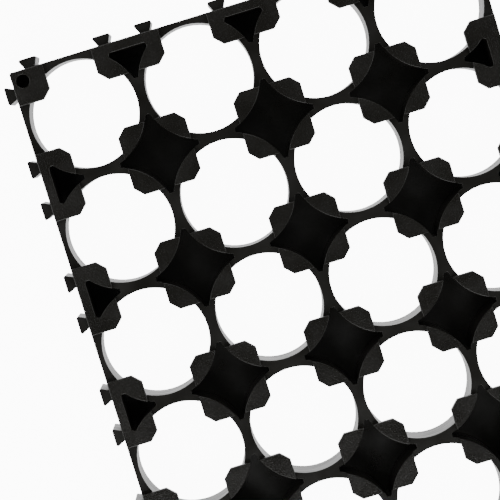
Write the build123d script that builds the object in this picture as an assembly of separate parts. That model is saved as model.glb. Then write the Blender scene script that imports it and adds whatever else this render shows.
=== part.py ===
from build123d import *
import os

# Cell holder bracket for a block of 18650 cells: one injection moulding in black ABS.
#
# Millimetres, +Z up. The origin lies on the underside, at the centre of the cell grid.
# X runs along the rows of cells and Y along the columns. The cells enter their bores from
# below and stop under the corners of the square blocks. The welded strips lie between the
# blocks, on the lattice. Plates join edge to edge: dovetail tails on the -X and +Y edges
# rise into the sockets in the +X and -Y edges of the next plate.

# --- Cell grid ---
columns = 4
rows = 5
bore_radius = 9.2  # an 18 mm cell and its sleeve, with clearance
bore_wall = 1.8  # thinnest wall between two bores

# --- Heights ---
lattice_height = 6.1  # underside to the strips' seat, and the depth of the bores
stop_thickness = 0.9  # how far the blocks stand above the lattice

# --- Blocks over the gaps between four cells ---
strip_width = 8.0
strip_clearance = 0.4
block_chamfer = 1.5
block_setback = 0.1  # from the plate's edge to the side of an edge block

# --- Star pockets, which core the blocks out from above ---
pocket_wall = 1.05  # left between a pocket and a bore
pocket_reach = 6.9  # from a gap's centre to the blunt tips between two bores
pocket_floor = 1.0
pocket_corner_radius = 0.5  # at the edge pockets' outer corners
tail_side_wall = 1.75  # left between an edge pocket and an edge with tails
socket_side_wall = 0.85  # left between an edge pocket and the sockets

# --- Dovetails: two to each edge cell ---
tail_offset = 6.45  # from a cell's centre line to a tail's
tail_neck = 1.8
tail_width = 3.0
tail_length = 1.6
tail_head = 0.35  # straight-sided outer end
tail_corner_radius = 0.3
tail_root = 0.4  # reach into the plate
tail_clearance = 0.15  # all round, and above the tail

# --- Outer corners ---
plate_corner_radius = 0.4
pilot_radius = 1.1
pilot_inset = 1.95  # from both edges of the corner between the two rows of tails

# --- Worked out from the sizes above ---
cell_pitch = 2 * bore_radius + bore_wall
plate_width = columns * cell_pitch
plate_length = rows * cell_pitch
overall_height = lattice_height + stop_thickness
block_side = cell_pitch - strip_width - strip_clearance
pocket_arc_radius = bore_radius + pocket_wall
socket_depth = tail_length + tail_clearance
cut_margin = 1.0  # how far a cutting shape runs past what it cuts


def plate_outline(setback):
    """The plate's outline from above, drawn in by setback."""
    return RectangleRounded(plate_width - 2 * setback, plate_length - 2 * setback, plate_corner_radius)


def cell_grid():
    """The centres of the cells."""
    return GridLocations(cell_pitch, cell_pitch, columns, rows)


def gap_grid():
    """The centres of the gaps between cells, out to the plate's edges and corners."""
    return GridLocations(cell_pitch, cell_pitch, columns + 1, rows + 1)


def lattice():
    """The lower slab, as deep as the bores. The bores come later."""
    return extrude(plate_outline(0), amount=lattice_height)


def blocks():
    """Chamfered squares on the lattice, halved at the edges and quartered at the corners."""
    square = Rectangle(block_side, block_side)
    square = chamfer(square.vertices(), block_chamfer)
    field = Sketch() + [place * square for place in gap_grid()]
    field = field & plate_outline(block_setback)
    return Pos(0, 0, lattice_height) * extrude(field, amount=stop_thickness)


def cell_bores():
    """The bores, up to the underside of the blocks."""
    circles = Sketch() + [place * Circle(bore_radius) for place in cell_grid()]
    return extrude(circles, amount=lattice_height)


def star():
    """The blunt-tipped star between four circles around neighbouring bores."""
    square = Rectangle(2 * pocket_reach, 2 * pocket_reach)
    circles = [place * Circle(pocket_arc_radius) for place in GridLocations(cell_pitch, cell_pitch, 2, 2)]
    return square - circles


def pockets():
    """Star pockets in the inner blocks, cut to triangles in the edge blocks, above their floors."""
    socket_side = socket_depth + socket_side_wall
    left = -plate_width / 2 + tail_side_wall
    right = plate_width / 2 - socket_side
    front = -plate_length / 2 + socket_side
    back = plate_length / 2 - tail_side_wall
    middle = ((left + right) / 2, (front + back) / 2)
    inside = Pos(*middle) * Rectangle(right - left, back - front)
    outlines = []
    for place in gap_grid():
        at_side = abs(place.position.X) > (columns / 2 - 0.5) * cell_pitch
        at_end = abs(place.position.Y) > (rows / 2 - 0.5) * cell_pitch
        outline = (place * star()) & inside
        if at_side and at_end:
            continue
        if at_side or at_end:
            outward = (lambda corner: abs(corner.X)) if at_side else (lambda corner: abs(corner.Y))
            outer_corners = outline.vertices().sort_by(outward)[-2:]
            outline = fillet(outer_corners, pocket_corner_radius)
        outlines.append(outline)
    depth = overall_height - pocket_floor + cut_margin
    return Pos(0, 0, pocket_floor) * extrude(Sketch() + outlines, amount=depth)


def sharp_tail():
    """A tail's outline before its corners are rounded. It points along +Y from the X axis."""
    shoulder = tail_length - tail_head
    half = [
        (tail_neck / 2, -tail_root),
        (tail_neck / 2, 0),
        (tail_width / 2, shoulder),
        (tail_width / 2, tail_length),
    ]
    return make_face(Polyline(*half, *[(-x, y) for x, y in reversed(half)], close=True))


def rounded_tail():
    """A tail's outline with its outer corners rounded."""
    outline = sharp_tail()
    outer_corners = outline.vertices().group_by(Axis.Y)[-1]
    return fillet(outer_corners, tail_corner_radius)


def tail_places():
    """Where the tails stand: along the -X edge, pointing -X, and along the +Y edge, pointing +Y."""
    side = Pos(-plate_width / 2, 0) * Rot(0, 0, 90)
    end = Pos(0, plate_length / 2)
    pair = GridLocations(2 * tail_offset, 0, 2, 1)
    along_side = [side * cell * tail for cell in GridLocations(cell_pitch, 0, rows, 1) for tail in pair]
    along_end = [end * cell * tail for cell in GridLocations(cell_pitch, 0, columns, 1) for tail in pair]
    return along_side, along_end


def tails():
    """The tails, as tall as the lattice."""
    side, end = tail_places()
    outlines = Sketch() + [place * rounded_tail() for place in side + end]
    return extrude(outlines, amount=lattice_height)


def sockets():
    """The sockets: the next plates' tails with clearance, open below and roofed by the blocks."""
    side, end = tail_places()
    socket = offset(sharp_tail(), tail_clearance, kind=Kind.INTERSECTION)
    at_side = [Pos(plate_width, 0) * place * socket for place in side]
    at_end = [Pos(0, -plate_length) * place * socket for place in end]
    return extrude(Sketch() + at_side + at_end, amount=lattice_height + tail_clearance)


def pilot_hole():
    """The blind screw hole in the corner block between the two rows of tails."""
    place = Pos(-plate_width / 2 + pilot_inset, plate_length / 2 - pilot_inset, pocket_floor)
    return place * extrude(Circle(pilot_radius), amount=overall_height - pocket_floor + cut_margin)


def cell_holder():
    """The whole moulding."""
    body = lattice() + blocks() + tails()
    return body - cell_bores() - pockets() - sockets() - pilot_hole()


os.makedirs("parts", exist_ok=True)
export_step(cell_holder(), "parts/cell_holder.step")
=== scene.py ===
from math import cos, radians, sin

import bmesh
import bpy
from bpy.props import FloatProperty, FloatVectorProperty, PointerProperty, StringProperty
from mathutils import Euler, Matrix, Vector


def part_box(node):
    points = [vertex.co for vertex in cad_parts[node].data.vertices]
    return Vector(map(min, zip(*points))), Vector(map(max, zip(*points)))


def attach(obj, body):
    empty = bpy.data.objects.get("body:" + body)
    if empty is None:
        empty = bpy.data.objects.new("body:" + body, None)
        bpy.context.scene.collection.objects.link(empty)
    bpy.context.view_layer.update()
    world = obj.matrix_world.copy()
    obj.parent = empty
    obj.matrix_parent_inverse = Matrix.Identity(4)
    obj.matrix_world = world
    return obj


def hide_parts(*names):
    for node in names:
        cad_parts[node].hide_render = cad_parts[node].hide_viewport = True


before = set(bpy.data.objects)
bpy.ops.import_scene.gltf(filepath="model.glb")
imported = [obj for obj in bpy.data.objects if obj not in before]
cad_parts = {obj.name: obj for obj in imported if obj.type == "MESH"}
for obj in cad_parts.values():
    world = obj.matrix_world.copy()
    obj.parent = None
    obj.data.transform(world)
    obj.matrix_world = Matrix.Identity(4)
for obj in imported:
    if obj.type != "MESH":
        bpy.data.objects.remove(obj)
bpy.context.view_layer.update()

bl_info = {
    "name": "Battery cell holder",
    "version": (1, 0, 0),
    "blender": (4, 5, 0),
    "location": "View3D > Sidebar > Cell holder",
    "description": "Finishes a moulded plate that holds round battery cells, and lays it on a pale floor",
    "category": "Object",
}

MM = 0.001
MERGE_DISTANCE = 0.001 * MM  # corners of triangles that are one corner of the moulding
FLAT_ANGLE = radians(0.5)  # triangles that turn by less than this are one flat face
LEVEL_TOLERANCE = 0.01 * MM  # how far from the top a point may be and still count as on it
SENSOR_WIDTH = 36.0


# --- Sizes and colours that a user would change ---


class HolderSettings(bpy.types.PropertyGroup):
    """The moulding's edges, surfaces and colours."""

    rim_radius: FloatProperty(
        name="Rim radius",
        description="Rounding around the tops of the blocks",
        default=0.15 * MM,
        unit="LENGTH",
    )
    edge_radius: FloatProperty(
        name="Edge radius",
        description="Rounding on every other outer edge",
        default=0.06 * MM,
        unit="LENGTH",
    )
    crease_angle: FloatProperty(
        name="Crease angle",
        description="Edges that turn by more than this are rounded, and the walls of the bores stay smooth",
        default=radians(40),
        subtype="ANGLE",
    )
    black: StringProperty(
        name="Black",
        description="Colour of the pigmented plastic, as sRGB hex",
        default="#171613",
    )
    spark_grain: FloatProperty(
        name="Spark grain",
        description="Width of a grain on the tops of the blocks, where the mould face was spark-eroded",
        default=0.25 * MM,
        unit="LENGTH",
    )
    grain_depth: FloatProperty(
        name="Grain depth",
        description="Height of the spark-eroded grain",
        default=0.06 * MM,
        unit="LENGTH",
    )
    flow_width: FloatProperty(
        name="Flow width",
        description="Width of the faint cloudy patches where the melt ran and cooled unevenly",
        default=6.0 * MM,
        unit="LENGTH",
    )
    flow_flatness: FloatProperty(
        name="Flow flatness",
        description="How many times wider than high the patches are on an upright wall",
        default=8.0,
    )


class StageSettings(bpy.types.PropertyGroup):
    """The floor, the lights and the camera."""

    floor_white: StringProperty(
        name="Floor",
        description="Colour of the floor, as sRGB hex",
        default="#F4F4F4",
    )
    floor_size: FloatProperty(
        name="Floor size",
        description="Side of the square floor",
        default=3.0,
        unit="LENGTH",
    )
    floor_glow: FloatProperty(
        name="Floor glow",
        description="Light that the floor sheds on the plate, as a light table does",
        default=2.0,
    )
    floor_brightness: FloatProperty(
        name="Floor brightness",
        description="Brightness of the bare floor as the camera sees it, past plain white",
        default=12.0,
    )
    room_light: FloatProperty(
        name="Room light",
        description="Strength of the even light from the room",
        default=0.035,
    )
    key_power: FloatProperty(
        name="Key power",
        description="Power of the near softbox, which lights the plate from the viewer's side",
        default=1.3,
        unit="POWER",
    )
    fill_power: FloatProperty(
        name="Fill power",
        description="Power of each of the softboxes on the other three sides",
        default=0.65,
        unit="POWER",
    )
    softbox_size: FloatProperty(
        name="Softbox size",
        description="Side of each square softbox",
        default=0.30,
        unit="LENGTH",
    )
    softbox_distance: FloatProperty(
        name="Softbox distance",
        description="From the middle of the plate to each softbox",
        default=0.42,
        unit="LENGTH",
    )
    softbox_height: FloatProperty(
        name="Softbox elevation",
        description="How high the softboxes stand above the floor, as an angle",
        default=radians(38),
        subtype="ANGLE",
    )
    camera_place: FloatVectorProperty(
        name="Camera place",
        description="Where the camera hangs over the plate",
        default=(-8.11 * MM, 31.22 * MM, 292.48 * MM),
        subtype="TRANSLATION",
    )
    camera_turn: FloatVectorProperty(
        name="Camera turn",
        description="The camera's rotation: tilts about X and Y, then its roll over the plate",
        default=(radians(-4.143), radians(-0.787), radians(-17.065)),
        subtype="EULER",
    )
    camera_lens: FloatProperty(
        name="Camera lens",
        description="Focal length on a 36 mm sensor",
        default=122.16,
    )


# --- Helpers ---


def linear(hex_colour):
    """An sRGB hex colour as linear RGBA."""
    parts = [int(hex_colour[i:i + 2], 16) / 255 for i in (1, 3, 5)]
    return (*[c / 12.92 if c <= 0.04045 else ((c + 0.055) / 1.055) ** 2.4 for c in parts], 1.0)


def add_node(tree, kind, inputs=None, **settings):
    """A node with its settings, its input values and the links into it."""
    node = tree.nodes.new(kind)
    for name, value in settings.items():
        setattr(node, name, value)
    for name, value in (inputs or {}).items():
        if isinstance(value, bpy.types.NodeSocket):
            tree.links.new(value, node.inputs[name])
        else:
            node.inputs[name].default_value = value
    return node


def new_material(name):
    """An empty material with its node tree and output."""
    material = bpy.data.materials.new(name)
    material.use_nodes = True
    tree = material.node_tree
    tree.nodes.clear()
    return material, tree, add_node(tree, "ShaderNodeOutputMaterial")


def scale_for(width):
    """The noise scale whose patches are about as wide as the given width, in metres."""
    return 1.0 / width


# --- Materials ---


def moulded_abs(settings):
    """Black ABS off a machined mould face: satin, with faint cloudy patches of more and less gloss.

    On the walls of the bores the patches are flat bands, as the core pins' turning marks leave them.
    """
    material, tree, output = new_material("moulded_abs")
    place = add_node(tree, "ShaderNodeTexCoord").outputs["Object"]
    flattened = add_node(
        tree, "ShaderNodeMapping",
        {"Vector": place, "Scale": (1.0, 1.0, settings.flow_flatness)},
    )
    clouds = add_node(
        tree, "ShaderNodeTexNoise",
        {"Vector": flattened.outputs["Vector"], "Scale": scale_for(settings.flow_width), "Detail": 3.0},
    )
    roughness = add_node(
        tree, "ShaderNodeMapRange",
        {"Value": clouds.outputs["Fac"], "From Min": 0.3, "From Max": 0.7, "To Min": 0.26, "To Max": 0.42},
    )
    shader = add_node(
        tree, "ShaderNodeBsdfPrincipled",
        {"Base Color": linear(settings.black), "Roughness": roughness.outputs["Result"], "IOR": 1.5},
    )
    tree.links.new(shader.outputs["BSDF"], output.inputs["Surface"])
    return material


def spark_eroded_abs(settings):
    """Black ABS off a spark-eroded mould face: a fine grain that breaks the gloss into specks.

    The real grain is about a tenth as wide. It is drawn as coarse as it needs to be to show.
    """
    material, tree, output = new_material("spark_eroded_abs")
    place = add_node(tree, "ShaderNodeTexCoord").outputs["Object"]
    grain = add_node(
        tree, "ShaderNodeTexNoise",
        {"Vector": place, "Scale": scale_for(settings.spark_grain), "Detail": 2.0},
    )
    clouds = add_node(
        tree, "ShaderNodeTexNoise",
        {"Vector": place, "Scale": scale_for(settings.flow_width), "Detail": 3.0},
    )
    roughness = add_node(
        tree, "ShaderNodeMapRange",
        {"Value": clouds.outputs["Fac"], "From Min": 0.3, "From Max": 0.7, "To Min": 0.24, "To Max": 0.36},
    )
    bump = add_node(
        tree, "ShaderNodeBump",
        {"Height": grain.outputs["Fac"], "Strength": 1.0, "Distance": settings.grain_depth},
    )
    shader = add_node(
        tree, "ShaderNodeBsdfPrincipled",
        {
            "Base Color": linear(settings.black),
            "Roughness": roughness.outputs["Result"],
            "IOR": 1.5,
            "Normal": bump.outputs["Normal"],
        },
    )
    tree.links.new(shader.outputs["BSDF"], output.inputs["Surface"])
    return material


def floor_paper(settings):
    """White paper on a light table: blown out to the camera, but a mild glow on the plate."""
    material, tree, output = new_material("floor_paper")
    white = linear(settings.floor_white)
    seen = add_node(tree, "ShaderNodeLightPath").outputs["Is Camera Ray"]
    glow = add_node(
        tree, "ShaderNodeMapRange",
        {"Value": seen, "To Min": settings.floor_glow, "To Max": settings.floor_brightness},
    )
    shader = add_node(
        tree, "ShaderNodeBsdfPrincipled",
        {
            "Base Color": white,
            "Roughness": 0.9,
            "Emission Color": white,
            "Emission Strength": glow.outputs["Result"],
        },
    )
    tree.links.new(shader.outputs["BSDF"], output.inputs["Surface"])
    return material


# --- The moulding ---


def merged_copy(node, name):
    """A piece with a copy of a CAD node's mesh, its triangles joined into whole faces."""
    mesh = node.data.copy()
    mesh.name = name
    mesh.materials.clear()
    bm = bmesh.new()
    bm.from_mesh(mesh)
    bmesh.ops.remove_doubles(bm, verts=bm.verts, dist=MERGE_DISTANCE)
    bmesh.ops.dissolve_limit(bm, angle_limit=FLAT_ANGLE, verts=bm.verts, edges=bm.edges)
    bm.to_mesh(mesh)
    bm.free()
    piece = bpy.data.objects.new(name, mesh)
    bpy.context.scene.collection.objects.link(piece)
    return piece


def round_edges(mesh, top, rim_radius, edge_radius, crease_angle):
    """Rounds the outer edges, the rims of the top most of all.

    Inner corners stay sharp, and so do the edges of the overhangs, which no view from above shows.
    """
    bm = bmesh.new()
    bm.from_mesh(mesh)

    def is_overhang(face):
        return face.normal.z < -0.9 and face.calc_center_median().z > top / 2

    def is_outer(edge):
        if not edge.is_manifold or any(is_overhang(face) for face in edge.link_faces):
            return False
        return edge.calc_face_angle_signed() > crease_angle

    def is_rim(edge):
        return all(abs(vert.co.z - top) < LEVEL_TOLERANCE for vert in edge.verts)

    def bevel(edges, radius, segments):
        bmesh.ops.bevel(
            bm, geom=edges, offset=radius, segments=segments, profile=0.5,
            affect="EDGES", clamp_overlap=False, material=-1,
        )

    bevel([e for e in bm.edges if is_outer(e) and is_rim(e)], rim_radius, 3)
    bm.normal_update()
    bevel([e for e in bm.edges if is_outer(e)], edge_radius, 2)
    bm.normal_update()
    for edge in bm.edges:
        if edge.is_manifold and edge.calc_face_angle_signed() < -crease_angle:
            edge.smooth = False
    bm.to_mesh(mesh)
    bm.free()


class HOLDER_OT_moulding(bpy.types.Operator):
    """The whole plate: lattice, blocks and tails in one moulding, with rounded edges and two finishes"""

    bl_idname = "holder.moulding"
    bl_label = "Moulding"

    def execute(self, context):
        settings = context.scene.holder
        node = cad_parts["cell_holder"]
        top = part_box("cell_holder")[1][2]
        plate = merged_copy(node, "moulding")
        mesh = plate.data
        mesh.shade_smooth()
        round_edges(mesh, top, settings.rim_radius, settings.edge_radius, settings.crease_angle)
        mesh.materials.append(moulded_abs(settings))
        mesh.materials.append(spark_eroded_abs(settings))
        for face in mesh.polygons:
            is_block_top = face.center.z > top - LEVEL_TOLERANCE and face.normal.z > 0.99
            face.material_index = 1 if is_block_top else 0
        flat_faces_first = plate.modifiers.new("flat_faces_first", "WEIGHTED_NORMAL")
        flat_faces_first.weight = 100
        flat_faces_first.keep_sharp = True
        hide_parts("cell_holder")
        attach(plate, "root")
        return {"FINISHED"}


# --- The stage ---


def add_softbox(name, place, aim, size, power):
    """A square area light that faces the aim."""
    lamp = bpy.data.lights.new(name, "AREA")
    lamp.size = size
    lamp.energy = power
    light = bpy.data.objects.new(name, lamp)
    light.location = place
    light.rotation_euler = (Vector(aim) - Vector(place)).to_track_quat("-Z", "Y").to_euler()
    bpy.context.scene.collection.objects.link(light)
    return light


class HOLDER_OT_stage(bpy.types.Operator):
    """The floor, the soft lights and the camera over the plate"""

    bl_idname = "holder.stage"
    bl_label = "Stage"

    def execute(self, context):
        scene = context.scene
        settings = scene.holder_stage

        mesh = bpy.data.meshes.new("floor")
        bm = bmesh.new()
        bmesh.ops.create_grid(bm, x_segments=1, y_segments=1, size=settings.floor_size / 2)
        bm.to_mesh(mesh)
        bm.free()
        mesh.materials.append(floor_paper(settings))
        floor = bpy.data.objects.new("floor", mesh)
        scene.collection.objects.link(floor)

        world = bpy.data.worlds.new("room")
        world.use_nodes = True
        background = world.node_tree.nodes["Background"]
        background.inputs["Color"].default_value = (1.0, 1.0, 1.0, 1.0)
        background.inputs["Strength"].default_value = settings.room_light
        scene.world = world

        for name, side, power in (
            ("key_softbox", -90, settings.key_power),
            ("left_softbox", 180, settings.fill_power),
            ("right_softbox", 0, settings.fill_power),
            ("far_softbox", 90, settings.fill_power),
        ):
            turn = settings.camera_turn[2] + radians(side)
            reach = settings.softbox_distance * cos(settings.softbox_height)
            height = settings.softbox_distance * sin(settings.softbox_height)
            place = (reach * cos(turn), reach * sin(turn), height)
            add_softbox(name, place, (0, 0, 0), settings.softbox_size, power)

        data = bpy.data.cameras.new("camera")
        data.lens = settings.camera_lens
        data.sensor_width = SENSOR_WIDTH
        data.clip_start = 0.01
        camera = bpy.data.objects.new("camera", data)
        camera.location = settings.camera_place
        camera.rotation_euler = Euler(settings.camera_turn, "XYZ")
        scene.collection.objects.link(camera)
        scene.camera = camera
        return {"FINISHED"}


class HOLDER_PT_panel(bpy.types.Panel):
    """Buttons for the moulding and the stage, and their settings"""

    bl_idname = "HOLDER_PT_panel"
    bl_label = "Cell holder"
    bl_space_type = "VIEW_3D"
    bl_region_type = "UI"
    bl_category = "Cell holder"

    def draw(self, context):
        layout = self.layout
        for settings, operator in (
            (context.scene.holder, HOLDER_OT_moulding),
            (context.scene.holder_stage, HOLDER_OT_stage),
        ):
            box = layout.box()
            box.operator(operator.bl_idname)
            for name in settings.bl_rna.properties.keys():
                if name not in {"rna_type", "name"}:
                    box.prop(settings, name)


CLASSES = (HolderSettings, StageSettings, HOLDER_OT_moulding, HOLDER_OT_stage, HOLDER_PT_panel)


def register():
    for cls in CLASSES:
        bpy.utils.register_class(cls)
    bpy.types.Scene.holder = PointerProperty(type=HolderSettings)
    bpy.types.Scene.holder_stage = PointerProperty(type=StageSettings)


def unregister():
    del bpy.types.Scene.holder_stage
    del bpy.types.Scene.holder
    for cls in reversed(CLASSES):
        bpy.utils.unregister_class(cls)


def main():
    register()
    bpy.ops.holder.moulding()
    bpy.ops.holder.stage()


if __name__ == "__main__":
    main()
